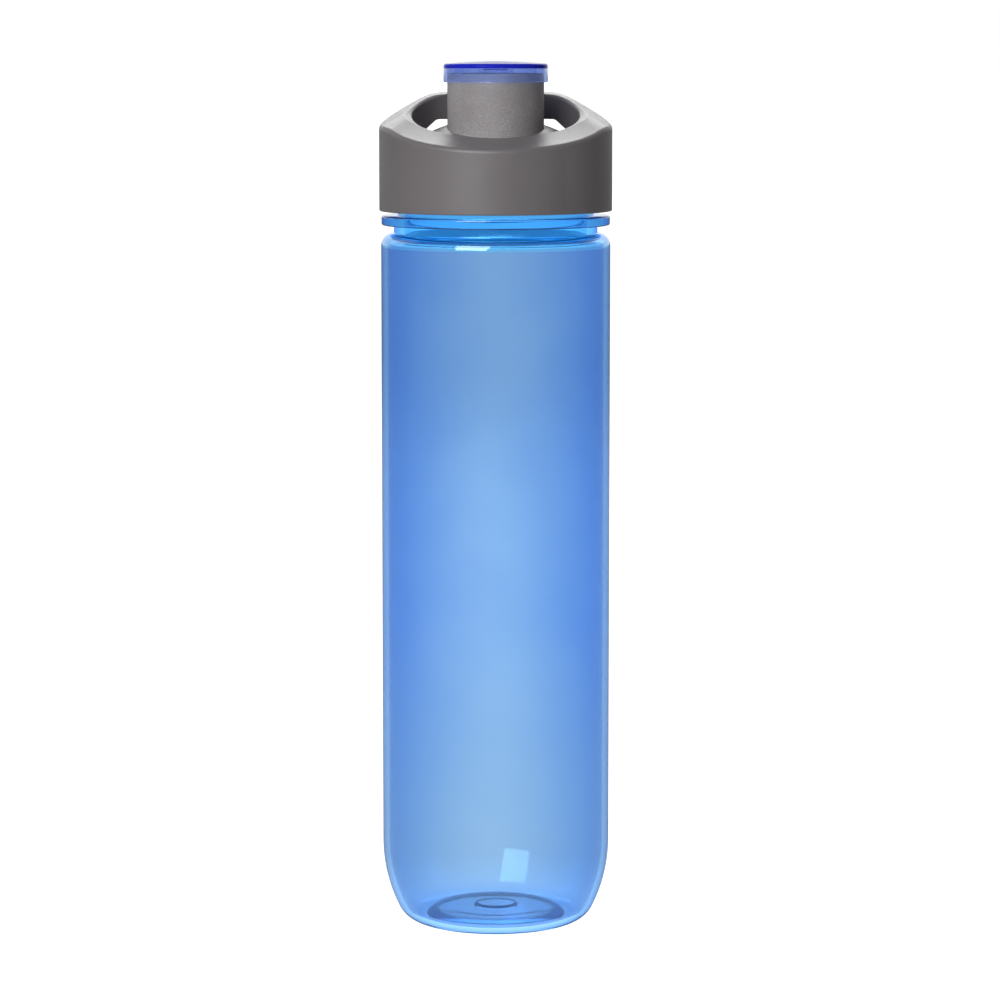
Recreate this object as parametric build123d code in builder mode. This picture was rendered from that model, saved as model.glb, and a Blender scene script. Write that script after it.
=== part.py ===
"""Wide-mouth sports bottle with a screw lid, a carry loop and a push-pull mouthpiece.

Millimetres, +Z up. The origin is the centre of the foot the bottle stands on.
The front of the bottle faces -Y and the carry loop is at the back, +Y.
The lid is screwed down and the mouthpiece is pushed shut.
"""
import os
from math import asin, cos, degrees, radians, sin, sqrt

from build123d import *

os.makedirs("parts", exist_ok=True)

# ---------------------------------------------------------------- driving dimensions
# bottle
body_radius = 35.0
wall = 1.9
heel_radius = 7.9
taper_radius = 47.0
taper_top = 25.2
shoulder_top = 213.1
under_ring_radius = 31.04
ring_radius = 34.85
ring_bottom = 215.5
ring_top = 218.4
neck_radius = 30.0
neck_bore = 27.9
neck_rim = 232.5
rim_round = 0.6

# screw thread shared by the neck and the lid
thread_pitch = 5.0
thread_turns = 1.25
thread_start = 222.6
neck_thread_depth = 1.4
cup_thread_depth = 1.35
thread_flank_gap = 1.85
thread_overlap = 0.3
neck_thread_root = 1.3
neck_thread_tip = 0.6
cup_thread_root = 1.1
cup_thread_tip = 0.5

# lid
lid_radius = 35.5
lid_bottom = 219.8
lid_wall = 2.0
lid_front_height = 239.35
ramp_start_angle = 11.3
ramp_radius = 186.0
loop_front_y = 6.0
loop_rise = 0.11
shoulder_slope_x = 25.0
shoulder_slope_z = 250.4
shoulder_fall = 0.45
shoulder_climb = 0.1
pocket_radius = 25.5
pocket_center_y = 3.75
deck_floor = 237.4
deck_thickness = 2.0
dome_radius = 47.0
dome_center_y = 8.0
dome_top = 248.06
window_half_width = 24.0
window_top_half_width = 18.3
window_top = 247.1
window_side_slope = 0.907
window_corner = 2.0
facet_center_y = 5.0
facet_center_z = 248.8
facet_tilt = 0.3
facet_climb = 0.5

# threaded cup with the spout
cup_radius = 33.3
cup_bottom = 220.6
cup_bore = 31.7
gasket_thickness = 1.5
cup_top = deck_floor - deck_thickness
plug_ring_radius = 27.3
plug_ring_bottom = 231.4
spout_radius = 14.71
spout_bore = 13.0
spout_rim = 261.5
spout_throat = 11.6
stem_seat = 238.0

# mouthpiece
mouthpiece_radius = 15.86
mouthpiece_skirt_bore = 14.91
mouthpiece_lip = 258.8
mouthpiece_underside = 263.5
mouthpiece_edge_top = 264.4
mouthpiece_crown = 265.1
slider_radius = 12.5
slider_bore = 10.4
slider_bottom = 249.4
drink_hole = 4.0
collar_radius = 5.4
collar_bottom = 261.2

# soft parts
seal_gap = 0.05
slider_seal_thickness = 1.5
stem_seal_thickness = 1.1
vent_y = 19.5
vent_stem_radius = 1.2
vent_disc_radius = 4.5


def on_circle(center, radius, angle):
    """Point at an angle in degrees on a circle of a revolved profile, as (r, z)."""
    return (
        center[0] + radius * cos(radians(angle)),
        center[1] + radius * sin(radians(angle)),
    )


def arc(center, radius, start, end):
    """Arc of a circle from one angle to another, drawn in the open BuildLine."""
    ThreePointArc(
        on_circle(center, radius, start),
        on_circle(center, radius, (start + end) / 2),
        on_circle(center, radius, end),
    )


def edge_reach(edge, center_y=0.0):
    """Distance of an edge's midpoint from an upright axis through (0, center_y)."""
    middle = edge @ 0.5
    return sqrt(middle.X**2 + (middle.Y - center_y) ** 2)


# ---------------------------------------------------------------- bottle body
# The heel arc touches the floor and runs into the taper arc without a corner.
taper_center = (body_radius - taper_radius, taper_top)
heel_reach = taper_radius - heel_radius
heel_center_z = heel_radius
foot_radius = taper_center[0] + sqrt(heel_reach**2 - (taper_top - heel_center_z) ** 2)
heel_center = (foot_radius, heel_center_z)
heel_angle = -degrees(asin((taper_top - heel_center_z) / heel_reach))
foot_width = 1.5
foot_inner_radius = foot_radius - foot_width
push_up_radius = 13.5
push_up_height = 2.3
push_up_ease = 5.0
foot_ease = 1.0
step_radius = 6.8
center_disc_radius = 6.0
center_disc_height = 3.0
shoulder_radius = body_radius - under_ring_radius
shoulder_center = (under_ring_radius, shoulder_top - shoulder_radius)
ring_round = 0.5
throat_round = 1.2

with BuildPart() as bottle_body:
    with BuildSketch(Plane.XZ):
        with BuildLine():
            # outside, from the middle of the base up to the rim
            Polyline(
                (0, center_disc_height),
                (center_disc_radius, center_disc_height),
                (step_radius, push_up_height),
                (push_up_radius, push_up_height),
            )
            Bezier(
                (push_up_radius, push_up_height),
                (push_up_radius + push_up_ease, push_up_height),
                (foot_inner_radius - foot_ease, push_up_height / 2),
                (foot_inner_radius, 0),
            )
            Line((foot_inner_radius, 0), (foot_radius, 0))
            arc(heel_center, heel_radius, -90, heel_angle)
            arc(taper_center, taper_radius, heel_angle, 0)
            Line((body_radius, taper_top), (body_radius, shoulder_center[1]))
            arc(shoulder_center, shoulder_radius, 0, 90)
            Polyline(
                (under_ring_radius, shoulder_top),
                (under_ring_radius, ring_bottom),
                (ring_radius - ring_round, ring_bottom),
            )
            arc((ring_radius - ring_round, ring_bottom + ring_round), ring_round, -90, 0)
            Line((ring_radius, ring_bottom + ring_round), (ring_radius, ring_top - ring_round))
            arc((ring_radius - ring_round, ring_top - ring_round), ring_round, 0, 90)
            Polyline(
                (ring_radius - ring_round, ring_top),
                (neck_radius, ring_top),
                (neck_radius, neck_rim - rim_round),
            )
            arc((neck_radius - rim_round, neck_rim - rim_round), rim_round, 0, 90)
            # over the rim and down the inside to the floor
            Line((neck_radius - rim_round, neck_rim), (neck_bore + rim_round, neck_rim))
            arc((neck_bore + rim_round, neck_rim - rim_round), rim_round, 90, 180)
            inner_shoulder_z = shoulder_top - wall
            Line((neck_bore, neck_rim - rim_round), (neck_bore, inner_shoulder_z + throat_round))
            arc((neck_bore + throat_round, inner_shoulder_z + throat_round), throat_round, 180, 270)
            Line((neck_bore + throat_round, inner_shoulder_z), (under_ring_radius, inner_shoulder_z))
            arc(shoulder_center, shoulder_radius - wall, 90, 0)
            Line((body_radius - wall, shoulder_center[1]), (body_radius - wall, taper_top))
            arc(taper_center, taper_radius - wall, 0, heel_angle)
            arc(heel_center, heel_radius - wall, heel_angle, -90)
            Line((foot_radius, wall), (foot_inner_radius, wall))
            Bezier(
                (foot_inner_radius, wall),
                (foot_inner_radius - foot_ease, push_up_height / 2 + wall),
                (push_up_radius + push_up_ease, push_up_height + wall),
                (push_up_radius, push_up_height + wall),
            )
            Polyline(
                (push_up_radius, push_up_height + wall),
                (step_radius, push_up_height + wall),
                (center_disc_radius, center_disc_height + wall),
                (0, center_disc_height + wall),
                (0, center_disc_height),
            )
        make_face()
    revolve(axis=Axis.Z)
    # one thread, wound as a right-hand helix round the neck
    with BuildLine(Plane.XY.offset(thread_start)):
        neck_helix = Helix(thread_pitch, thread_pitch * thread_turns, neck_radius)
    with BuildSketch(Plane(neck_helix @ 0, x_dir=(1, 0, 0), z_dir=neck_helix % 0)):
        with BuildLine():
            Polyline(
                (-thread_overlap, -neck_thread_root),
                (neck_thread_depth, -neck_thread_tip),
                (neck_thread_depth, neck_thread_tip),
                (-thread_overlap, neck_thread_root),
                close=True,
            )
        make_face()
    sweep(path=neck_helix, is_frenet=True)

bottle_body.part.label = "bottle_body"
export_step(bottle_body.part, "parts/bottle_body.step")


# ---------------------------------------------------------------- lid shell
# The top climbs from the front in a hollow curve, then runs level over the carry loop.
# Left and right of the loop it falls away as two flat shoulders.
overshoot = 2.0
ramp_overrun = 1.0
ramp_center = (
    -lid_radius - ramp_radius * sin(radians(ramp_start_angle)),
    lid_front_height + ramp_radius * cos(radians(ramp_start_angle)),
)
ramp_end_angle = degrees(asin((loop_front_y - ramp_center[0]) / ramp_radius)) - 90
ramp_low_angle = ramp_start_angle - 90 - ramp_overrun
ramp_low = on_circle(ramp_center, ramp_radius, ramp_low_angle)
ramp_end = on_circle(ramp_center, ramp_radius, ramp_end_angle)
loop_back_y = lid_radius + overshoot
loop_back_z = ramp_end[1] + loop_rise * (loop_back_y - loop_front_y)
dome_center = (0, dome_center_y, dome_top - dome_radius)
above_lid = loop_back_z + overshoot
window_corner_z = window_top - window_side_slope * (window_half_width - window_top_half_width)

with BuildPart() as pocket:
    with BuildSketch(Plane.XY.offset(deck_floor)):
        with Locations((0, pocket_center_y)):
            Circle(pocket_radius)
    extrude(amount=above_lid - deck_floor)
    # finger window under the carry loop, open to the back
    with BuildSketch(Plane.XZ):
        with BuildLine():
            Polyline(
                (-window_half_width, deck_floor),
                (-window_half_width, window_corner_z),
                (-window_top_half_width, window_top),
                (window_top_half_width, window_top),
                (window_half_width, window_corner_z),
                (window_half_width, deck_floor),
                close=True,
            )
        window = make_face()
        fillet(window.vertices().group_by(Axis.Y)[-1], window_corner)
    extrude(amount=-(lid_radius + overshoot))
    # the deck rises into the pocket as a low dome
    with Locations(dome_center):
        Sphere(dome_radius, mode=Mode.SUBTRACT)

# A tilted cone bevels the pocket's edge left and right. It starts just inside the pocket wall.
facet_height = 12.0
facet_overlap = 0.6
facet_inner_radius = pocket_radius - facet_overlap
facet_plane = Plane(
    origin=(0, facet_center_y, facet_center_z),
    x_dir=(1, 0, 0),
    z_dir=(0, -facet_tilt, 1),
)

with BuildPart(facet_plane) as side_facets:
    Cone(
        facet_inner_radius,
        facet_inner_radius + facet_height / facet_climb,
        facet_height,
        align=(Align.CENTER, Align.CENTER, Align.MIN),
    )

shell_bore = lid_radius - lid_wall

with BuildPart() as lid_cavity:
    with BuildSketch(Plane.XY.offset(cup_top)):
        Circle(shell_bore)
    extrude(amount=dome_top - cup_top)
    with Locations(dome_center):
        Sphere(dome_radius - deck_thickness, mode=Mode.INTERSECT)
    with BuildSketch(Plane.XY.offset(lid_bottom)):
        Circle(shell_bore)
    extrude(amount=cup_top - lid_bottom)

snap_z = 222.7
snap_half = 0.7
snap_depth = 0.4
snap_slope = 0.4
snap_gap = 0.1
spout_hole = spout_radius + 0.1
edge_round = 1.5
skirt_round = 0.4
crease_round = 16.0
rim_edge_round = 0.7
window_round = 0.5
on_surface = 0.05
air_hole_y = 22.0
air_hole_radius = 1.5

with BuildPart() as lid_shell:
    with BuildSketch(Plane.YZ):
        with BuildLine():
            arc(ramp_center, ramp_radius, ramp_low_angle, ramp_end_angle)
            Polyline(
                ramp_end,
                (loop_back_y, loop_back_z),
                (loop_back_y, lid_bottom),
                (ramp_low[0], lid_bottom),
                ramp_low,
            )
        make_face()
    extrude(amount=loop_back_y, both=True)
    for side in (-1, 1):
        shoulder = Plane(
            origin=(side * shoulder_slope_x, 0, shoulder_slope_z),
            z_dir=(side * shoulder_fall, -shoulder_climb, 1),
        )
        split(bisect_by=shoulder, keep=Keep.BOTTOM)
    with BuildSketch(Plane.XY.offset(lid_bottom)):
        Circle(lid_radius)
    extrude(amount=above_lid - lid_bottom, mode=Mode.INTERSECT)
    # soften the creases between the ramp, the loop and the shoulders, then the outer edge
    creases = [edge for edge in lid_shell.edges() if edge_reach(edge) < lid_radius - edge_round]
    fillet(creases, crease_round)
    rim = [
        edge
        for edge in lid_shell.edges()
        if edge_reach(edge) > lid_radius - on_surface
        and (edge @ 0.5).Z > deck_floor
        and edge.geom_type != GeomType.LINE
    ]
    fillet(rim, edge_round)
    fillet(lid_shell.faces().sort_by(Axis.Z)[0].edges(), skirt_round)
    add(pocket.part, mode=Mode.SUBTRACT)
    add(side_facets.part, mode=Mode.SUBTRACT)
    loop_edges = [
        edge
        for edge in lid_shell.edges()
        if (edge @ 0.5).Z > ramp_end[1]
        and abs(edge_reach(edge, pocket_center_y) - pocket_radius) < on_surface
    ]
    fillet(lid_shell.faces().filter_by(GeomType.CONE).edges() + loop_edges, rim_edge_round)
    window_edges = [
        edge
        for edge in lid_shell.edges()
        if window_corner_z < (edge @ 0.5).Z < window_top + 0.1
        and (edge @ 0.5).Y > pocket_center_y
        and (
            abs(edge_reach(edge) - lid_radius) < on_surface
            or abs(edge_reach(edge, pocket_center_y) - pocket_radius) < on_surface
        )
    ]
    fillet(window_edges, window_round)
    add(lid_cavity.part, mode=Mode.SUBTRACT)
    # clearance hole for the spout and an air hole behind it
    with BuildSketch(Plane.XY.offset(cup_top)):
        Circle(spout_hole)
        with Locations((0, air_hole_y)):
            Circle(air_hole_radius)
    extrude(amount=dome_top - cup_top, mode=Mode.SUBTRACT)
    # snap groove for the bead on the threaded cup
    with BuildSketch(Plane.XZ):
        with BuildLine():
            Polyline(
                (shell_bore - snap_gap, snap_z - snap_half - snap_gap),
                (shell_bore - snap_gap + snap_depth, snap_z - snap_half - snap_gap + snap_slope),
                (shell_bore - snap_gap + snap_depth, snap_z + snap_half + snap_gap - snap_slope),
                (shell_bore - snap_gap, snap_z + snap_half + snap_gap),
                close=True,
            )
        make_face()
    revolve(axis=Axis.Z, mode=Mode.SUBTRACT)

lid_shell.part.label = "lid_shell"
export_step(lid_shell.part, "parts/lid_shell.step")


# ---------------------------------------------------------------- threaded cup and spout
# The inner moulding: it screws on the neck, closes the mouth and carries the spout.
wall_underside = neck_rim + gasket_thickness
plug_ring_width = 1.3
plug_ring_inner = plug_ring_radius - plug_ring_width
lead_in = 0.3
spout_round = 0.8
stop_ring_bore = 12.68
stop_ring_bottom = 259.1
snap_bead_radius = cup_radius + snap_depth
vent_hole_radius = 0.6
vent_hole_ring = 2.8

with BuildPart() as threaded_cup:
    with BuildSketch(Plane.XZ):
        with BuildLine():
            Polyline(
                (cup_bore, cup_bottom),
                (cup_radius, cup_bottom),
                (cup_radius, snap_z - snap_half),
                (snap_bead_radius, snap_z - snap_half + snap_slope),
                (snap_bead_radius, snap_z + snap_half - snap_slope),
                (cup_radius, snap_z + snap_half),
                (cup_radius, cup_top),
                (spout_radius, cup_top),
                (spout_radius, spout_rim - spout_round),
            )
            arc((spout_radius - spout_round, spout_rim - spout_round), spout_round, 0, 90)
            Polyline(
                (spout_radius - spout_round, spout_rim),
                (spout_bore + lead_in, spout_rim),
                (stop_ring_bore, spout_rim - 2 * lead_in),
                (stop_ring_bore, stop_ring_bottom),
                (spout_bore, stop_ring_bottom - lead_in),
                (spout_bore, stem_seat),
                (spout_throat, stem_seat),
                (spout_throat, wall_underside),
                (plug_ring_inner, wall_underside),
                (plug_ring_inner, plug_ring_bottom),
                (plug_ring_radius - lead_in, plug_ring_bottom),
                (plug_ring_radius, plug_ring_bottom + 2 * lead_in),
                (plug_ring_radius, wall_underside),
                (cup_bore, wall_underside),
                (cup_bore, cup_bottom),
            )
        make_face()
    revolve(axis=Axis.Z)
    # the matching thread inside the skirt runs just under the neck's thread
    with BuildLine(Plane.XY.offset(thread_start - thread_flank_gap)):
        cup_helix = Helix(thread_pitch, thread_pitch * thread_turns, cup_bore)
    with BuildSketch(Plane(cup_helix @ 0, x_dir=(1, 0, 0), z_dir=cup_helix % 0)):
        with BuildLine():
            Polyline(
                (thread_overlap, -cup_thread_root),
                (-cup_thread_depth, -cup_thread_tip),
                (-cup_thread_depth, cup_thread_tip),
                (thread_overlap, cup_thread_root),
                close=True,
            )
        make_face()
    sweep(path=cup_helix, is_frenet=True)
    # air valve seat behind the spout: a hole for its stem in a ring of air holes
    with BuildSketch(Plane.XY.offset(cup_top)):
        with Locations((0, vent_y)):
            Circle(vent_stem_radius + seal_gap)
            with PolarLocations(vent_hole_ring, 4, start_angle=45):
                Circle(vent_hole_radius)
    extrude(amount=-(cup_top - wall_underside), mode=Mode.SUBTRACT)

threaded_cup.part.label = "threaded_cup"
export_step(threaded_cup.part, "parts/threaded_cup.step")


# ---------------------------------------------------------------- lid gasket
gasket_outer_radius = neck_radius + 1.2
gasket_bore = plug_ring_radius + 0.1
gasket_round = 0.3

with BuildPart() as lid_gasket:
    with BuildSketch(Plane.XY.offset(neck_rim)):
        Circle(gasket_outer_radius)
        Circle(gasket_bore, mode=Mode.SUBTRACT)
    extrude(amount=gasket_thickness)
    fillet(lid_gasket.edges().filter_by(GeomType.CIRCLE).sort_by(SortBy.RADIUS)[-2:], gasket_round)

lid_gasket.part.label = "lid_gasket"
export_step(lid_gasket.part, "parts/lid_gasket.step")


# ---------------------------------------------------------------- valve stem
# A fixed post on three spokes. Its head plugs the drink hole when the bottle is shut.
stem_ring_height = 3.0
stem_ring_width = 1.5
hub_radius = 3.4
hub_height = 4.0
post_radius = 2.8
head_radius = drink_hole - 0.15
head_bottom = 259.8
head_top = 264.8
stem_seal_z = 262.9
stem_groove = head_radius - stem_seal_thickness + 0.07
hub_slope = 1.0
head_chamfer = 0.5
groove_half = stem_seal_thickness / 2 + seal_gap
spoke_count = 3
spoke_width = 2.0

with BuildPart() as valve_stem:
    with BuildSketch(Plane.XZ):
        with BuildLine():
            Polyline(
                (0, stem_seat),
                (hub_radius, stem_seat),
                (hub_radius, stem_seat + hub_height),
                (post_radius, stem_seat + hub_height + hub_slope),
                (post_radius, head_bottom),
                (head_radius, head_bottom + hub_slope),
                (head_radius, stem_seal_z - groove_half),
                (stem_groove, stem_seal_z - groove_half),
                (stem_groove, stem_seal_z + groove_half),
                (head_radius, stem_seal_z + groove_half),
                (head_radius, head_top - head_chamfer),
                (head_radius - head_chamfer, head_top),
                (0, head_top),
                close=True,
            )
        make_face()
    revolve(axis=Axis.Z)
    with BuildSketch(Plane.XY.offset(stem_seat)):
        Circle(spout_bore - seal_gap)
        Circle(spout_bore - seal_gap - stem_ring_width, mode=Mode.SUBTRACT)
        with PolarLocations(0, spoke_count, start_angle=90):
            with Locations((spout_bore / 2, 0)):
                Rectangle(spout_bore - stem_ring_width, spoke_width)
    extrude(amount=stem_ring_height)

valve_stem.part.label = "valve_stem"
export_step(valve_stem.part, "parts/valve_stem.step")


# ---------------------------------------------------------------- stem seal
with BuildPart() as stem_seal:
    with Locations((0, 0, stem_seal_z)):
        Torus(drink_hole - seal_gap - stem_seal_thickness / 2, stem_seal_thickness / 2)

stem_seal.part.label = "stem_seal"
export_step(stem_seal.part, "parts/stem_seal.step")


# ---------------------------------------------------------------- mouthpiece
# A cap with a skirt outside the spout and a slider tube inside it.
crown_rise = mouthpiece_crown - mouthpiece_edge_top
edge_corner = 0.9
crown_reach = mouthpiece_radius - edge_corner
crown_radius = (crown_reach**2 + crown_rise**2) / (2 * crown_rise)
hole_top = mouthpiece_crown - crown_radius + sqrt(crown_radius**2 - drink_hole**2)
mid_reach = (crown_reach + drink_hole) / 2
mid_top = mouthpiece_crown - crown_radius + sqrt(crown_radius**2 - mid_reach**2)
slider_seal_z = 250.9
slider_groove = slider_radius - slider_seal_thickness + 0.4
slider_groove_half = slider_seal_thickness / 2 + seal_gap
snap_rib_radius = 12.93
snap_rib_bottom = 252.0
snap_rib_height = 1.1
slider_chamfer = 0.4
rib_slope = 0.3
lip_round = 0.3

with BuildPart() as mouthpiece:
    with BuildSketch(Plane.XZ):
        with BuildLine():
            Polyline(
                (drink_hole, hole_top),
                (drink_hole, collar_bottom),
                (collar_radius, collar_bottom),
                (collar_radius, mouthpiece_underside),
                (slider_bore, mouthpiece_underside),
                (slider_bore, slider_bottom),
                (slider_radius - slider_chamfer, slider_bottom),
                (slider_radius, slider_bottom + slider_chamfer),
                (slider_radius, slider_seal_z - slider_groove_half),
                (slider_groove, slider_seal_z - slider_groove_half),
                (slider_groove, slider_seal_z + slider_groove_half),
                (slider_radius, slider_seal_z + slider_groove_half),
                (slider_radius, snap_rib_bottom),
                (snap_rib_radius, snap_rib_bottom + rib_slope),
                (snap_rib_radius, snap_rib_bottom + snap_rib_height - rib_slope),
                (slider_radius, snap_rib_bottom + snap_rib_height),
                (slider_radius, mouthpiece_underside),
                (mouthpiece_skirt_bore, mouthpiece_underside),
                (mouthpiece_skirt_bore, mouthpiece_lip),
                (mouthpiece_radius - lip_round, mouthpiece_lip),
            )
            arc((mouthpiece_radius - lip_round, mouthpiece_lip + lip_round), lip_round, -90, 0)
            Line(
                (mouthpiece_radius, mouthpiece_lip + lip_round),
                (mouthpiece_radius, mouthpiece_edge_top - edge_corner),
            )
            arc(
                (mouthpiece_radius - edge_corner, mouthpiece_edge_top - edge_corner),
                edge_corner,
                0,
                90,
            )
            ThreePointArc(
                (crown_reach, mouthpiece_edge_top),
                (mid_reach, mid_top),
                (drink_hole, hole_top),
            )
        make_face()
    revolve(axis=Axis.Z)

mouthpiece.part.label = "mouthpiece"
export_step(mouthpiece.part, "parts/mouthpiece.step")


# ---------------------------------------------------------------- mouthpiece seal
with BuildPart() as mouthpiece_seal:
    with Locations((0, 0, slider_seal_z)):
        Torus(
            spout_bore - seal_gap - slider_seal_thickness / 2,
            slider_seal_thickness / 2,
        )

mouthpiece_seal.part.label = "mouthpiece_seal"
export_step(mouthpiece_seal.part, "parts/mouthpiece_seal.step")


# ---------------------------------------------------------------- vent valve
# A soft umbrella valve that lets air in behind the spout as the water leaves.
vent_bulb_radius = 1.9
vent_bulb_shoulder = 0.8
vent_bulb_height = 3.0
vent_cap_height = 1.2
vent_disc_edge = 0.5
vent_axis = Axis((0, vent_y, 0), (0, 0, 1))

with BuildPart() as vent_valve:
    with BuildSketch(Plane((0, vent_y, 0), x_dir=(1, 0, 0), z_dir=(0, -1, 0))):
        with BuildLine():
            Polyline(
                (0, wall_underside - vent_cap_height),
                (vent_stem_radius, wall_underside - vent_cap_height),
                (vent_disc_radius - 0.2, wall_underside - vent_disc_edge),
                (vent_disc_radius, wall_underside),
                (vent_stem_radius, wall_underside),
                (vent_stem_radius, cup_top),
                (vent_bulb_radius, cup_top),
                (vent_bulb_radius, cup_top + vent_bulb_shoulder),
                (vent_stem_radius / 2, cup_top + vent_bulb_height),
                (0, cup_top + vent_bulb_height),
                close=True,
            )
        make_face()
    revolve(axis=vent_axis)

vent_valve.part.label = "vent_valve"
export_step(vent_valve.part, "parts/vent_valve.step")
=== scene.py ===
"""Looks of a clear blue sports bottle with a grey screw lid and a push-pull mouthpiece.

Metres, +Z up, the front of the bottle faces -Y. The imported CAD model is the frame. The clear
bottle is turned afresh as one smooth skin; the other CAD nodes keep their shape and get materials.
"""

import math

import bpy
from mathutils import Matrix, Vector


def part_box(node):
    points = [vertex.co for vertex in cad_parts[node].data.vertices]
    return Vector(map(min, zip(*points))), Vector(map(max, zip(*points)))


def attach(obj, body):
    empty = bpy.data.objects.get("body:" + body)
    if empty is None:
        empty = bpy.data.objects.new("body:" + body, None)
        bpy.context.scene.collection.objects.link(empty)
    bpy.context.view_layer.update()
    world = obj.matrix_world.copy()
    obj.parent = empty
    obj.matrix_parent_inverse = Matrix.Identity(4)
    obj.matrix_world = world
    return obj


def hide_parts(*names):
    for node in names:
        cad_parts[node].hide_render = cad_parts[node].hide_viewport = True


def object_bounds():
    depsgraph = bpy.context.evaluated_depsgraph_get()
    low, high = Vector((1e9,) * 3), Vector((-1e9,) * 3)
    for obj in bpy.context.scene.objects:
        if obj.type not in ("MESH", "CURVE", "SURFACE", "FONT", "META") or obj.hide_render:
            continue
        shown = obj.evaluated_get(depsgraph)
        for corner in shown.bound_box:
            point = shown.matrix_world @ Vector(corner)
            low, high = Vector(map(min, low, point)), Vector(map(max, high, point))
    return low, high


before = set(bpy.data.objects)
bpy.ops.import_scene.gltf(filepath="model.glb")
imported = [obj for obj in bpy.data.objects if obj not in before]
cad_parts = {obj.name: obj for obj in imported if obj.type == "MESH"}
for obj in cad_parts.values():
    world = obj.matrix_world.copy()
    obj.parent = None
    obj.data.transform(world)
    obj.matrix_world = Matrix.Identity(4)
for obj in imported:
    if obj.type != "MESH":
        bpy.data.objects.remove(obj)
cad_low, cad_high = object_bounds()
scene = bpy.context.scene
MM = 0.001
SHARP_ANGLE = 38.0  # edges bent by more than this many degrees stay crisp
ROUND_SEGMENTS = 256  # steps round a turned piece


# ---------------------------------------------------------------- mesh helpers
def arc(center_r, center_z, radius, start, end, steps):
    """Points (r, z) on a circle of a turned profile, angles in degrees."""
    points = []
    for i in range(steps + 1):
        angle = math.radians(start + (end - start) * i / steps)
        points.append((center_r + radius * math.cos(angle), center_z + radius * math.sin(angle)))
    return points


def bezier(a, b, c, d, steps):
    """Points on a cubic curve from a to d."""
    points = []
    for i in range(steps + 1):
        t = i / steps
        weights = ((1 - t) ** 3, 3 * t * (1 - t) ** 2, 3 * t * t * (1 - t), t**3)
        points.append(tuple(sum(w * p[k] for w, p in zip(weights, (a, b, c, d))) for k in (0, 1)))
    return points


def column(radius, low, high, step):
    """Points up or down a straight wall."""
    count = max(1, round(abs(high - low) / step))
    return [(radius, low + (high - low) * i / count) for i in range(count + 1)]


def tidy(points):
    """The profile without repeated points."""
    kept = [points[0]]
    for p in points[1:]:
        if math.dist(p, kept[-1]) > 1e-7:
            kept.append(p)
    return kept


def turned(name, profile, segments=ROUND_SEGMENTS, swell=None):
    """A solid turned round the Z axis. The profile starts and ends on the axis.
    swell(angle, r, z) moves a point outwards."""
    profile = tidy(profile)
    verts = [(0.0, 0.0, profile[0][1])]
    for r, z in profile[1:-1]:
        for s in range(segments):
            angle = 2 * math.pi * s / segments
            reach = r + (swell(angle, r, z) if swell else 0.0)
            verts.append((reach * math.cos(angle), reach * math.sin(angle), z))
    verts.append((0.0, 0.0, profile[-1][1]))
    faces = []
    rings = len(profile) - 2
    last = len(verts) - 1
    for s in range(segments):
        n = (s + 1) % segments
        faces.append((0, 1 + n, 1 + s))
        for k in range(rings - 1):
            a = 1 + k * segments
            b = a + segments
            faces.append((a + s, a + n, b + n, b + s))
        top = 1 + (rings - 1) * segments
        faces.append((top + s, top + n, last))
    mesh = bpy.data.meshes.new(name)
    mesh.from_pydata(verts, [], faces)
    mesh.update()
    mesh.polygons.foreach_set("use_smooth", [True] * len(mesh.polygons))
    mesh.set_sharp_from_angle(angle=math.radians(SHARP_ANGLE))
    obj = bpy.data.objects.new(name, mesh)
    scene.collection.objects.link(obj)
    return obj


# ---------------------------------------------------------------- material helpers
class Nodes:
    """A short way to build a node tree."""

    def __init__(self, tree):
        self.tree = tree
        tree.nodes.clear()

    def add(self, kind, inputs=None, **settings):
        """Adds a node. inputs gives values or sockets by input name or number."""
        node = self.tree.nodes.new(kind)
        for key, value in settings.items():
            setattr(node, key, value)
        for key, value in (inputs or {}).items():
            socket = node.inputs[key]
            if isinstance(value, bpy.types.NodeSocket):
                self.tree.links.new(value, socket)
            else:
                socket.default_value = value
        return node


def material(name):
    """A new material with an empty node tree."""
    mat = bpy.data.materials.new(name)
    mat.use_nodes = True
    return mat, Nodes(mat.node_tree)


def remap(n, source, low, high, from_low=0.0, from_high=1.0):
    """The source value stretched to a new range."""
    limits = {"From Min": from_low, "From Max": from_high, "To Min": low, "To Max": high}
    node = n.add("ShaderNodeMapRange", {"Value": source, **limits})
    return node.outputs["Result"]


def math_node(n, operation, a, b):
    """The result of one sum on two values or sockets."""
    return n.add("ShaderNodeMath", {0: a, 1: b}, operation=operation).outputs[0]


def mix_color(n, factor, a, b):
    """Blend of two colours."""
    node = n.add("ShaderNodeMix", data_type="RGBA")
    for socket, value in ((node.inputs[0], factor), (node.inputs[6], a), (node.inputs[7], b)):
        if isinstance(value, bpy.types.NodeSocket):
            n.tree.links.new(value, socket)
        else:
            socket.default_value = value
    return node.outputs[2]


def noise(n, coordinates, scale, detail=2.0, roughness=0.5):
    """Smooth noise over the object, scale in features per metre."""
    node = n.add(
        "ShaderNodeTexNoise",
        {"Vector": coordinates, "Scale": scale, "Detail": detail, "Roughness": roughness},
    )
    return node.outputs["Fac"]


# ---------------------------------------------------------------- materials
BLEND = 0.1 * MM  # half the width over which one tint changes to another
EDGE_POWER = 0.7  # how soon the body's tint deepens as the wall turns away
RIM_POWER = 3.0  # the same for the part above
FLOW_SCALE = 34.0
SCUFF_SCALE = 900.0


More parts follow.
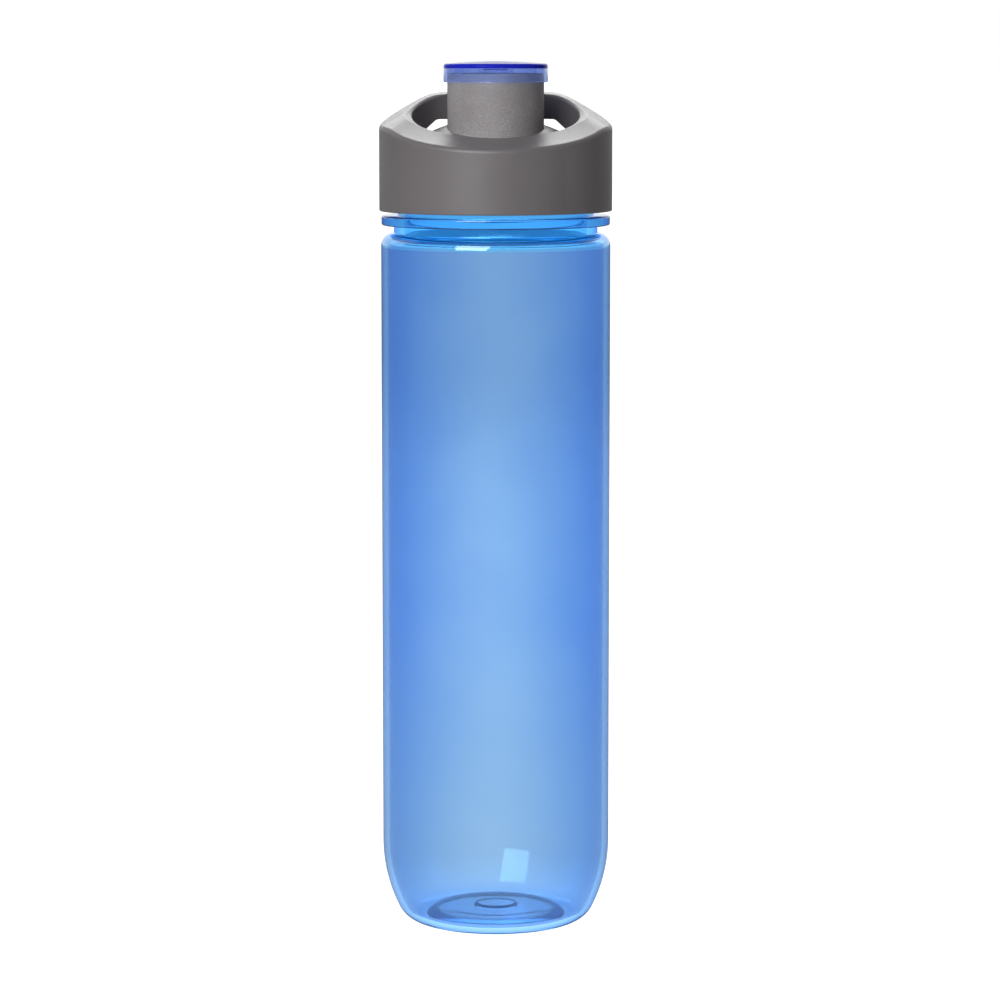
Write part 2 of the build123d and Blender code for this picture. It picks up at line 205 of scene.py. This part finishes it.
def clear_plastic(
    name,
    facing,
    grazing,
    ior,
    wall_density,
    wall_color,
    shade,
    above,
    core=None,
    low=None,
    glow=None,
):
    """Tinted clear plastic. The tint deepens where the wall is seen edge on, and with thickness.
    Lamps shine through it, tinted by shade.

    above is a height, the two colours the plastic has over that height, and how clear it is there.
    core is a radius and the colour inside it.
    low is the two heights between which the tint changes, and the two colours below them.
    glow is the bottom and top of a band with painted light, an emission glow standing in for light
    carried along the wall, and the glow's colour.
    """
    mat, n = material(name)
    place = n.add("ShaderNodeTexCoord").outputs["Object"]
    view = n.add("ShaderNodeLayerWeight", {"Blend": 0.5}).outputs["Facing"]
    edge = math_node(n, "POWER", view, EDGE_POWER)
    flow = noise(n, place, FLOW_SCALE, 3.0)
    scuffs = noise(n, place, SCUFF_SCALE, 4.0, 0.7)
    tint = mix_color(n, edge, facing, grazing)
    tint = mix_color(n, remap(n, flow, 0.0, 0.10, 0.35, 0.65), tint, grazing)
    polish = remap(n, scuffs, 0.015, 0.06, 0.3, 0.7)
    axes = n.add("ShaderNodeSeparateXYZ", {0: place}).outputs
    if low:
        low_full, low_start, low_facing, low_grazing = low
        near_base = remap(n, axes["Z"], 1.0, 0.0, low_full, low_start)
        tint = mix_color(n, near_base, tint, mix_color(n, edge, low_facing, low_grazing))
    if core:
        core_r, core_color = core
        flat = n.add("ShaderNodeCombineXYZ", {0: axes["X"], 1: axes["Y"]}).outputs[0]
        reach = n.add("ShaderNodeVectorMath", {0: flat}, operation="LENGTH").outputs["Value"]
        within = remap(n, reach, 1.0, 0.0, core_r - BLEND, core_r + BLEND)
        tint = mix_color(n, within, tint, core_color)
    high, high_facing, high_grazing, clearness = above
    over = remap(n, axes["Z"], 0.0, 1.0, high - BLEND, high + BLEND)
    rim = math_node(n, "POWER", view, RIM_POWER)
    tint = mix_color(n, over, tint, mix_color(n, rim, high_facing, high_grazing))
    shine = remap(n, over, 0.5, 0.03 + 0.47 * clearness)
    ripple = n.add("ShaderNodeBump", {"Strength": 0.05, "Distance": 0.0006, "Height": flow})
    painted_glow = 0.0
    painted_glow_color = facing
    # painted glow: emission that brightens a band of the wall, standing in for light carried along
    # it
    if glow:
        glow_low, glow_high, painted_glow_color = glow
        starts = remap(n, axes["Z"], 0.0, 1.0, glow_low - 0.6 * MM, glow_low + 0.6 * MM)
        stops = remap(n, axes["Z"], 1.0, 0.0, glow_high - 0.3 * MM, glow_high + 0.3 * MM)
        painted_glow = math_node(n, "MULTIPLY", starts, stops)
    body = n.add(
        "ShaderNodeBsdfPrincipled",
        {
            "Base Color": tint,
            "Roughness": polish,
            "Specular IOR Level": shine,
            "IOR": ior,
            "Transmission Weight": remap(n, over, 1.0, clearness),
            "Emission Color": painted_glow_color,
            "Emission Strength": painted_glow,
            "Normal": ripple.outputs[0],
        },
    )
    lamps = n.add("ShaderNodeBsdfTransparent", {"Color": shade})
    path = n.add("ShaderNodeLightPath").outputs["Is Shadow Ray"]
    surface = n.add("ShaderNodeMixShader", {0: path, 1: body.outputs[0], 2: lamps.outputs[0]})
    depth = n.add("ShaderNodeVolumeAbsorption", {"Color": wall_color, "Density": wall_density})
    n.add(
        "ShaderNodeOutputMaterial",
        {"Surface": surface.outputs[0], "Volume": depth.outputs[0]},
    )
    return mat


CLOUD_SCALE = 55.0
BLOOM_SCALE = 420.0


def moulded_plastic(name, base, dark, roughness, grain_scale, grain_depth, mottle=0.35):
    """Matte moulded plastic with a spark-eroded grain, in grains per metre and metres deep, and a
    mottle from 0 to 1 between its two colours."""
    mat, n = material(name)
    place = n.add("ShaderNodeTexCoord").outputs["Object"]
    cloud = noise(n, place, CLOUD_SCALE, 3.0)
    grain = noise(n, place, grain_scale, 3.0, 0.65)
    fine = noise(n, place, grain_scale * 2.7, 2.0, 0.5)
    color = mix_color(n, remap(n, cloud, 0.0, mottle, 0.35, 0.65), base, dark)
    color = mix_color(n, remap(n, grain, 0.0, mottle, 0.42, 0.62), color, dark)
    height = math_node(n, "ADD", grain, fine)
    bump = n.add("ShaderNodeBump", {"Strength": 0.6, "Distance": grain_depth, "Height": height})
    body = n.add(
        "ShaderNodeBsdfPrincipled",
        {
            "Base Color": color,
            "Roughness": remap(n, grain, roughness - 0.06, roughness + 0.08, 0.35, 0.65),
            "IOR": 1.49,
            "Normal": bump.outputs[0],
        },
    )
    n.add("ShaderNodeOutputMaterial", {"Surface": body.outputs[0]})
    return mat


def silicone(name):
    """Soft milky silicone with a faint bloom on its surface."""
    mat, n = material(name)
    place = n.add("ShaderNodeTexCoord").outputs["Object"]
    bloom = noise(n, place, BLOOM_SCALE, 4.0, 0.6)
    pale = (0.74, 0.75, 0.76, 1)
    dull = (0.62, 0.64, 0.66, 1)
    color = mix_color(n, remap(n, bloom, 0.0, 1.0, 0.35, 0.65), pale, dull)
    bump = n.add("ShaderNodeBump", {"Strength": 0.3, "Distance": 0.00003, "Height": bloom})
    body = n.add(
        "ShaderNodeBsdfPrincipled",
        {
            "Base Color": color,
            "Roughness": remap(n, bloom, 0.38, 0.55, 0.35, 0.65),
            "Subsurface Weight": 0.25,
            "Subsurface Radius": (1.0, 1.0, 1.0),
            "Subsurface Scale": 0.001,
            "Normal": bump.outputs[0],
        },
    )
    n.add("ShaderNodeOutputMaterial", {"Surface": body.outputs[0]})
    return mat


body_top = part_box("bottle_body")[1][2]
cap_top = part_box("mouthpiece")[1][2]
stem_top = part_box("valve_stem")[1][2]
STEM_FACING = (0.96, 0.97, 0.98, 1)
STEM_GRAZING = (0.84, 0.87, 0.90, 1)
CAP_PLATE = (0.012, 0.020, 0.46, 1)

body_blue = clear_plastic(
    "clear_blue",
    facing=(0.56, 0.70, 0.87, 1),
    grazing=(0.09, 0.30, 0.76, 1),
    ior=1.56,
    wall_density=300.0,
    wall_color=(0.62, 0.84, 0.96, 1),
    shade=(0.66, 0.84, 0.97, 1),
    above=(
        body_top - 23.6 * MM,
        (0.44, 0.80, 1.0, 1),
        (0.16, 0.31, 1.0, 1),
        1.0,
    ),
    low=(25.0 * MM, 95.0 * MM, (0.59, 0.70, 0.81, 1), (0.14, 0.34, 0.69, 1)),
    # painted glow: emission that lights a band of the wall just under the support ring
    glow=(
        body_top - 20.4 * MM,
        body_top - 17.2 * MM,
        (0.0, 0.055, 0.14, 1),
    ),
)
cap_blue = clear_plastic(
    "clear_blue_cap",
    facing=(0.55, 0.65, 0.84, 1),
    grazing=(0.30, 0.38, 0.72, 1),
    ior=1.49,
    wall_density=150.0,
    wall_color=(0.45, 0.58, 0.96, 1),
    shade=(0.78, 0.80, 0.86, 1),
    above=(cap_top - 2.1 * MM, CAP_PLATE, CAP_PLATE, 0.0),
    core=(14.0 * MM, (0.98, 0.98, 0.98, 1)),
)
shell_grey = moulded_plastic(
    "grey_shell",
    base=(0.165, 0.153, 0.159, 1),
    dark=(0.126, 0.116, 0.121, 1),
    roughness=0.38,
    grain_scale=3800.0,
    grain_depth=0.00003,
)
cup_grey = moulded_plastic(
    "grey_cup",
    base=(0.400, 0.380, 0.389, 1),
    dark=(0.235, 0.220, 0.228, 1),
    roughness=0.55,
    grain_scale=3000.0,
    grain_depth=0.00006,
    mottle=1.0,
)
stem_clear = clear_plastic(
    "clear_stem",
    facing=STEM_FACING,
    grazing=STEM_GRAZING,
    ior=1.12,
    wall_density=30.0,
    wall_color=(0.80, 0.84, 0.90, 1),
    shade=(0.85, 0.88, 0.92, 1),
    above=(stem_top, STEM_FACING, STEM_GRAZING, 1.0),
)
soft_white = silicone("milky_silicone")


# ---------------------------------------------------------------- bottle skin
# One closed skin: the outside from the middle of the base to the rim, then the inside back down.
body_low, body_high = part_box("bottle_body")
rim_z = body_high[2]
body_r = (body_high[0] - body_low[0]) / 2
wall = 1.9 * MM
neck_r = body_r - 5.0 * MM
neck_bore = body_r - 7.1 * MM
under_ring_r = body_r - 3.96 * MM
ring_r = body_r - 0.15 * MM
ring_top = rim_z - 14.1 * MM
ring_bottom = ring_top - 2.9 * MM
shoulder_top = ring_bottom - 2.4 * MM
shoulder_z = shoulder_top - (body_r - under_ring_r)
heel_r = 7.9 * MM
taper_r = 47.0 * MM
taper_z = body_low[2] + 25.2 * MM
taper_x = body_r - taper_r
heel_reach = taper_r - heel_r
heel_drop = taper_z - body_low[2] - heel_r
foot_r = taper_x + math.sqrt(heel_reach**2 - heel_drop**2)
heel_angle = -math.degrees(math.asin(heel_drop / heel_reach))
foot_in = foot_r - 1.5 * MM
push_up = 2.3 * MM
push_r = 13.5 * MM
base_curve_in = 5.0 * MM  # how far the base's curve runs level before it falls to the foot
base_curve_out = 1.0 * MM
disc_z = 3.0 * MM
disc_r = 6.0 * MM
step_r = 6.8 * MM
round_r = 0.6 * MM
ring_round = 0.5 * MM
wall_step = 4 * MM  # spacing of the profile's points up a plain wall
thread_step = 0.22 * MM  # and up the neck, which carries the thread

thread_pitch = 5.0 * MM
thread_turns = 1.25
thread_start = rim_z - 9.9 * MM
thread_depth = 1.4 * MM
thread_foot = 1.3 * MM  # half the thread's width at its foot
thread_flank = 0.7 * MM  # how far up the neck its flank takes to rise
thread_fade = 0.08  # turns over which it fades at each end


def neck_thread(angle, r, z):
    """How far the neck's thread stands out of its wall at this point."""
    if abs(r - neck_r) > 1e-6 or not ring_top < z < rim_z - round_r:
        return 0.0
    height = 0.0
    for turn in (0, 1):
        along = angle / (2 * math.pi) + turn
        if not 0.0 <= along <= thread_turns:
            continue
        off = abs(z - thread_start - thread_pitch * along)
        crest = min(1.0, max(0.0, (thread_foot - off) / thread_flank))
        run_out = min(1.0, along / thread_fade, (thread_turns - along) / thread_fade)
        height = max(height, crest * run_out)
    return thread_depth * height


foot_z = body_low[2]
outside = [(0.0, foot_z + disc_z)]
outside += [(disc_r, foot_z + disc_z), (step_r, foot_z + push_up), (push_r, foot_z + push_up)]
outside += bezier(
    (push_r, foot_z + push_up),
    (push_r + base_curve_in, foot_z + push_up),
    (foot_in - base_curve_out, foot_z + push_up / 2),
    (foot_in, foot_z),
    12,
)
outside += arc(foot_r, foot_z + heel_r, heel_r, -90, heel_angle, 16)
outside += arc(taper_x, taper_z, taper_r, heel_angle, 0, 20)
outside += column(body_r, taper_z, shoulder_z, wall_step)
outside += arc(under_ring_r, shoulder_z, body_r - under_ring_r, 0, 90, 14)
outside += column(under_ring_r, shoulder_top, ring_bottom, 0.5 * MM)
outside += arc(ring_r - ring_round, ring_bottom + ring_round, ring_round, -90, 0, 6)
outside += arc(ring_r - ring_round, ring_top - ring_round, ring_round, 0, 90, 6)
outside += column(neck_r, ring_top, rim_z - round_r, thread_step)
outside += arc(neck_r - round_r, rim_z - round_r, round_r, 0, 90, 6)
inside = arc(neck_bore + round_r, rim_z - round_r, round_r, 90, 180, 6)
throat = 1.2 * MM
inner_shoulder = shoulder_top - wall
inside += column(neck_bore, rim_z - round_r, inner_shoulder + throat, 2 * MM)
inside += arc(neck_bore + throat, inner_shoulder + throat, throat, 180, 270, 8)
inside += arc(under_ring_r, shoulder_z, body_r - under_ring_r - wall, 90, 0, 10)
inside += column(body_r - wall, shoulder_z, taper_z, wall_step)
inside += arc(taper_x, taper_z, taper_r - wall, 0, heel_angle, 20)
inside += arc(foot_r, foot_z + heel_r, heel_r - wall, heel_angle, -90, 12)
inside += bezier(
    (foot_in, foot_z + wall),
    (foot_in - base_curve_out, foot_z + push_up / 2 + wall),
    (push_r + base_curve_in, foot_z + push_up + wall),
    (push_r, foot_z + push_up + wall),
    12,
)
inside += [(step_r, foot_z + push_up + wall), (disc_r, foot_z + disc_z + wall)]
inside += [(0.0, foot_z + disc_z + wall)]

bottle = turned("bottle_skin", outside + inside, swell=neck_thread)
bottle.data.materials.append(body_blue)
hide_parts("bottle_body")
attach(bottle, "bottle")


# ---------------------------------------------------------------- finishes on the CAD nodes
finishes = {
    "lid_shell": shell_grey,
    "threaded_cup": cup_grey,
    "valve_stem": stem_clear,
    "mouthpiece": cap_blue,
    "lid_gasket": soft_white,
    "stem_seal": stem_clear,
    "mouthpiece_seal": soft_white,
    "vent_valve": soft_white,
}
for node, finish in finishes.items():
    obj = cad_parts[node]
    obj.data.materials.clear()
    obj.data.materials.append(finish)


# ---------------------------------------------------------------- studio
FLOOR_SIZE = 30.0  # half a side, so that it runs to the horizon
FLOOR_SEEN = 1.1  # brightness the camera sees directly
FLOOR_BOUNCED = 0.06  # brightness for light that bounces off it onto the lid
# brightness seen through the bottle, at the two distances from its axis
NEAR_REACH, NEAR_GLOW = 0.1, 1.08
FAR_REACH, FAR_GLOW = 1.6, 0.92
# added right under the bottle, fading out at this distance
UNDER_REACH, UNDER_GLOW = 0.09, 0.45
# added for rays that come down steeply, between these two slopes
STEEP_START, STEEP_FULL, STEEP_GLOW = 0.25, 0.7, 0.3


def floor_material():
    """Plain white floor that burns out to white. It is dimmer for light that bounces off it,
    so that the key light alone models the lid, as on a dark-walled set."""
    mat, n = material("studio_floor")
    place = n.add("ShaderNodeTexCoord").outputs["Object"]
    reach = n.add("ShaderNodeVectorMath", {0: place}, operation="LENGTH").outputs["Value"]
    path = n.add("ShaderNodeLightPath").outputs
    # a ray that passes through rough plastic counts as glossy too, so those are taken out
    not_passed = math_node(n, "SUBTRACT", 1.0, path["Is Transmission Ray"])
    mirrored = math_node(n, "MULTIPLY", path["Is Glossy Ray"], not_passed)
    bounced = math_node(n, "MAXIMUM", path["Is Diffuse Ray"], mirrored)
    spread = remap(n, reach, NEAR_GLOW, FAR_GLOW, NEAR_REACH, FAR_REACH)
    under = remap(n, reach, UNDER_GLOW, 0.0, 0.0, UNDER_REACH)
    incoming = n.add("ShaderNodeNewGeometry").outputs["Incoming"]
    slope = n.add("ShaderNodeSeparateXYZ", {0: incoming}).outputs["Z"]
    steep = remap(n, slope, 0.0, STEEP_GLOW, STEEP_START, STEEP_FULL)
    through = math_node(n, "ADD", math_node(n, "ADD", spread, under), steep)
    seen = path["Is Camera Ray"]
    plain = n.add("ShaderNodeMix", {0: seen, 2: through, 3: FLOOR_SEEN}).outputs[0]
    glow = n.add("ShaderNodeMix", {0: bounced, 2: plain, 3: FLOOR_BOUNCED}).outputs[0]
    body = n.add(
        "ShaderNodeBsdfPrincipled",
        {
            "Base Color": (0.30, 0.30, 0.30, 1),
            "Roughness": 0.9,
            "Specular IOR Level": 0.1,
            "Emission Color": (1, 1, 1, 1),
            "Emission Strength": glow,
        },
    )
    n.add("ShaderNodeOutputMaterial", {"Surface": body.outputs[0]})
    return mat


floor_mesh = bpy.data.meshes.new("studio_floor")
signs = ((-1, -1), (1, -1), (1, 1), (-1, 1))
corners = [(x * FLOOR_SIZE, y * FLOOR_SIZE, cad_low[2]) for x, y in signs]
floor_mesh.from_pydata(corners, [], [(0, 1, 2, 3)])
floor = bpy.data.objects.new("studio_floor", floor_mesh)
floor.data.materials.append(floor_material())
scene.collection.objects.link(floor)


def softbox(name, azimuth, elevation, distance, width, height, watts):
    """A rectangular soft light aimed at the bottle. Azimuth 0 is the camera's side, and positive
    is to its right."""
    target = Vector((0, 0, (cad_low[2] + cad_high[2]) / 2))
    a = math.radians(azimuth)
    e = math.radians(elevation)
    away = Vector((math.cos(e) * math.sin(a), -math.cos(e) * math.cos(a), math.sin(e)))
    data = bpy.data.lights.new(name, "AREA")
    data.shape = "RECTANGLE"
    data.size = width
    data.size_y = height
    data.energy = watts
    lamp = bpy.data.objects.new(name, data)
    lamp.location = target + away * distance
    lamp.rotation_euler = away.to_track_quat("Z", "Y").to_euler()
    scene.collection.objects.link(lamp)


# name: azimuth and elevation in degrees, distance, width and height in metres, watts
LAMPS = {
    "key": (-25, 28, 1.3, 0.72, 0.85, 15.3),
    "side_left": (-125, 30, 1.5, 0.7, 0.9, 1.5),
    "side_right": (140, 30, 1.5, 0.7, 0.9, 0.8),
    "back": (180, 35, 1.6, 0.9, 0.9, 8),
}
for lamp_name, lamp_setting in LAMPS.items():
    softbox(lamp_name, *lamp_setting)

# Light off a surface finds a bright band behind the bottle and a dim ceiling. The camera, straight
# on or through the clear walls, sees plain white.
world = bpy.data.worlds.new("studio")
world.use_nodes = True
sky = Nodes(world.node_tree)
up = sky.add("ShaderNodeTexCoord").outputs["Generated"]
axes = sky.add("ShaderNodeSeparateXYZ", {0: up}).outputs
backdrop = remap(sky, axes["Y"], 0.03, 0.95, 0.55, 0.95)
ceiling = remap(sky, axes["Z"], 0.0, 0.12, 0.2, 1.0)
glow = math_node(sky, "ADD", backdrop, ceiling)
air = sky.add("ShaderNodeBackground", {"Color": (1, 1, 1, 1), "Strength": glow})
seen = sky.add("ShaderNodeBackground", {"Color": (1, 1, 1, 1), "Strength": 1.0})
path = sky.add("ShaderNodeLightPath").outputs
straight = math_node(sky, "MAXIMUM", path["Is Camera Ray"], path["Is Transmission Ray"])
both = sky.add("ShaderNodeMixShader", {0: straight, 1: air.outputs[0], 2: seen.outputs[0]})
sky.add("ShaderNodeOutputWorld", {"Surface": both.outputs[0]})
scene.world = world

scene.view_settings.view_transform = "Standard"
scene.view_settings.look = "None"
# light is caught many times over between the clear walls
scene.cycles.max_bounces = 28
scene.cycles.glossy_bounces = 16
scene.cycles.transmission_bounces = 28


# ---------------------------------------------------------------- camera
LENS_TILT = 6.895  # degrees below the horizon
LENS_LENGTH = 135.9
EYE = (1.31 * MM, -1153.9 * MM, 270.4 * MM)
camera_data = bpy.data.cameras.new("camera")
camera_data.sensor_width = 36.0
camera_data.lens = LENS_LENGTH
camera_data.clip_start = 0.01
camera_data.clip_end = 100.0
camera = bpy.data.objects.new("camera", camera_data)
camera.location = EYE
camera.rotation_euler = (math.radians(90 - LENS_TILT), 0, 0)
scene.collection.objects.link(camera)
scene.camera = camera
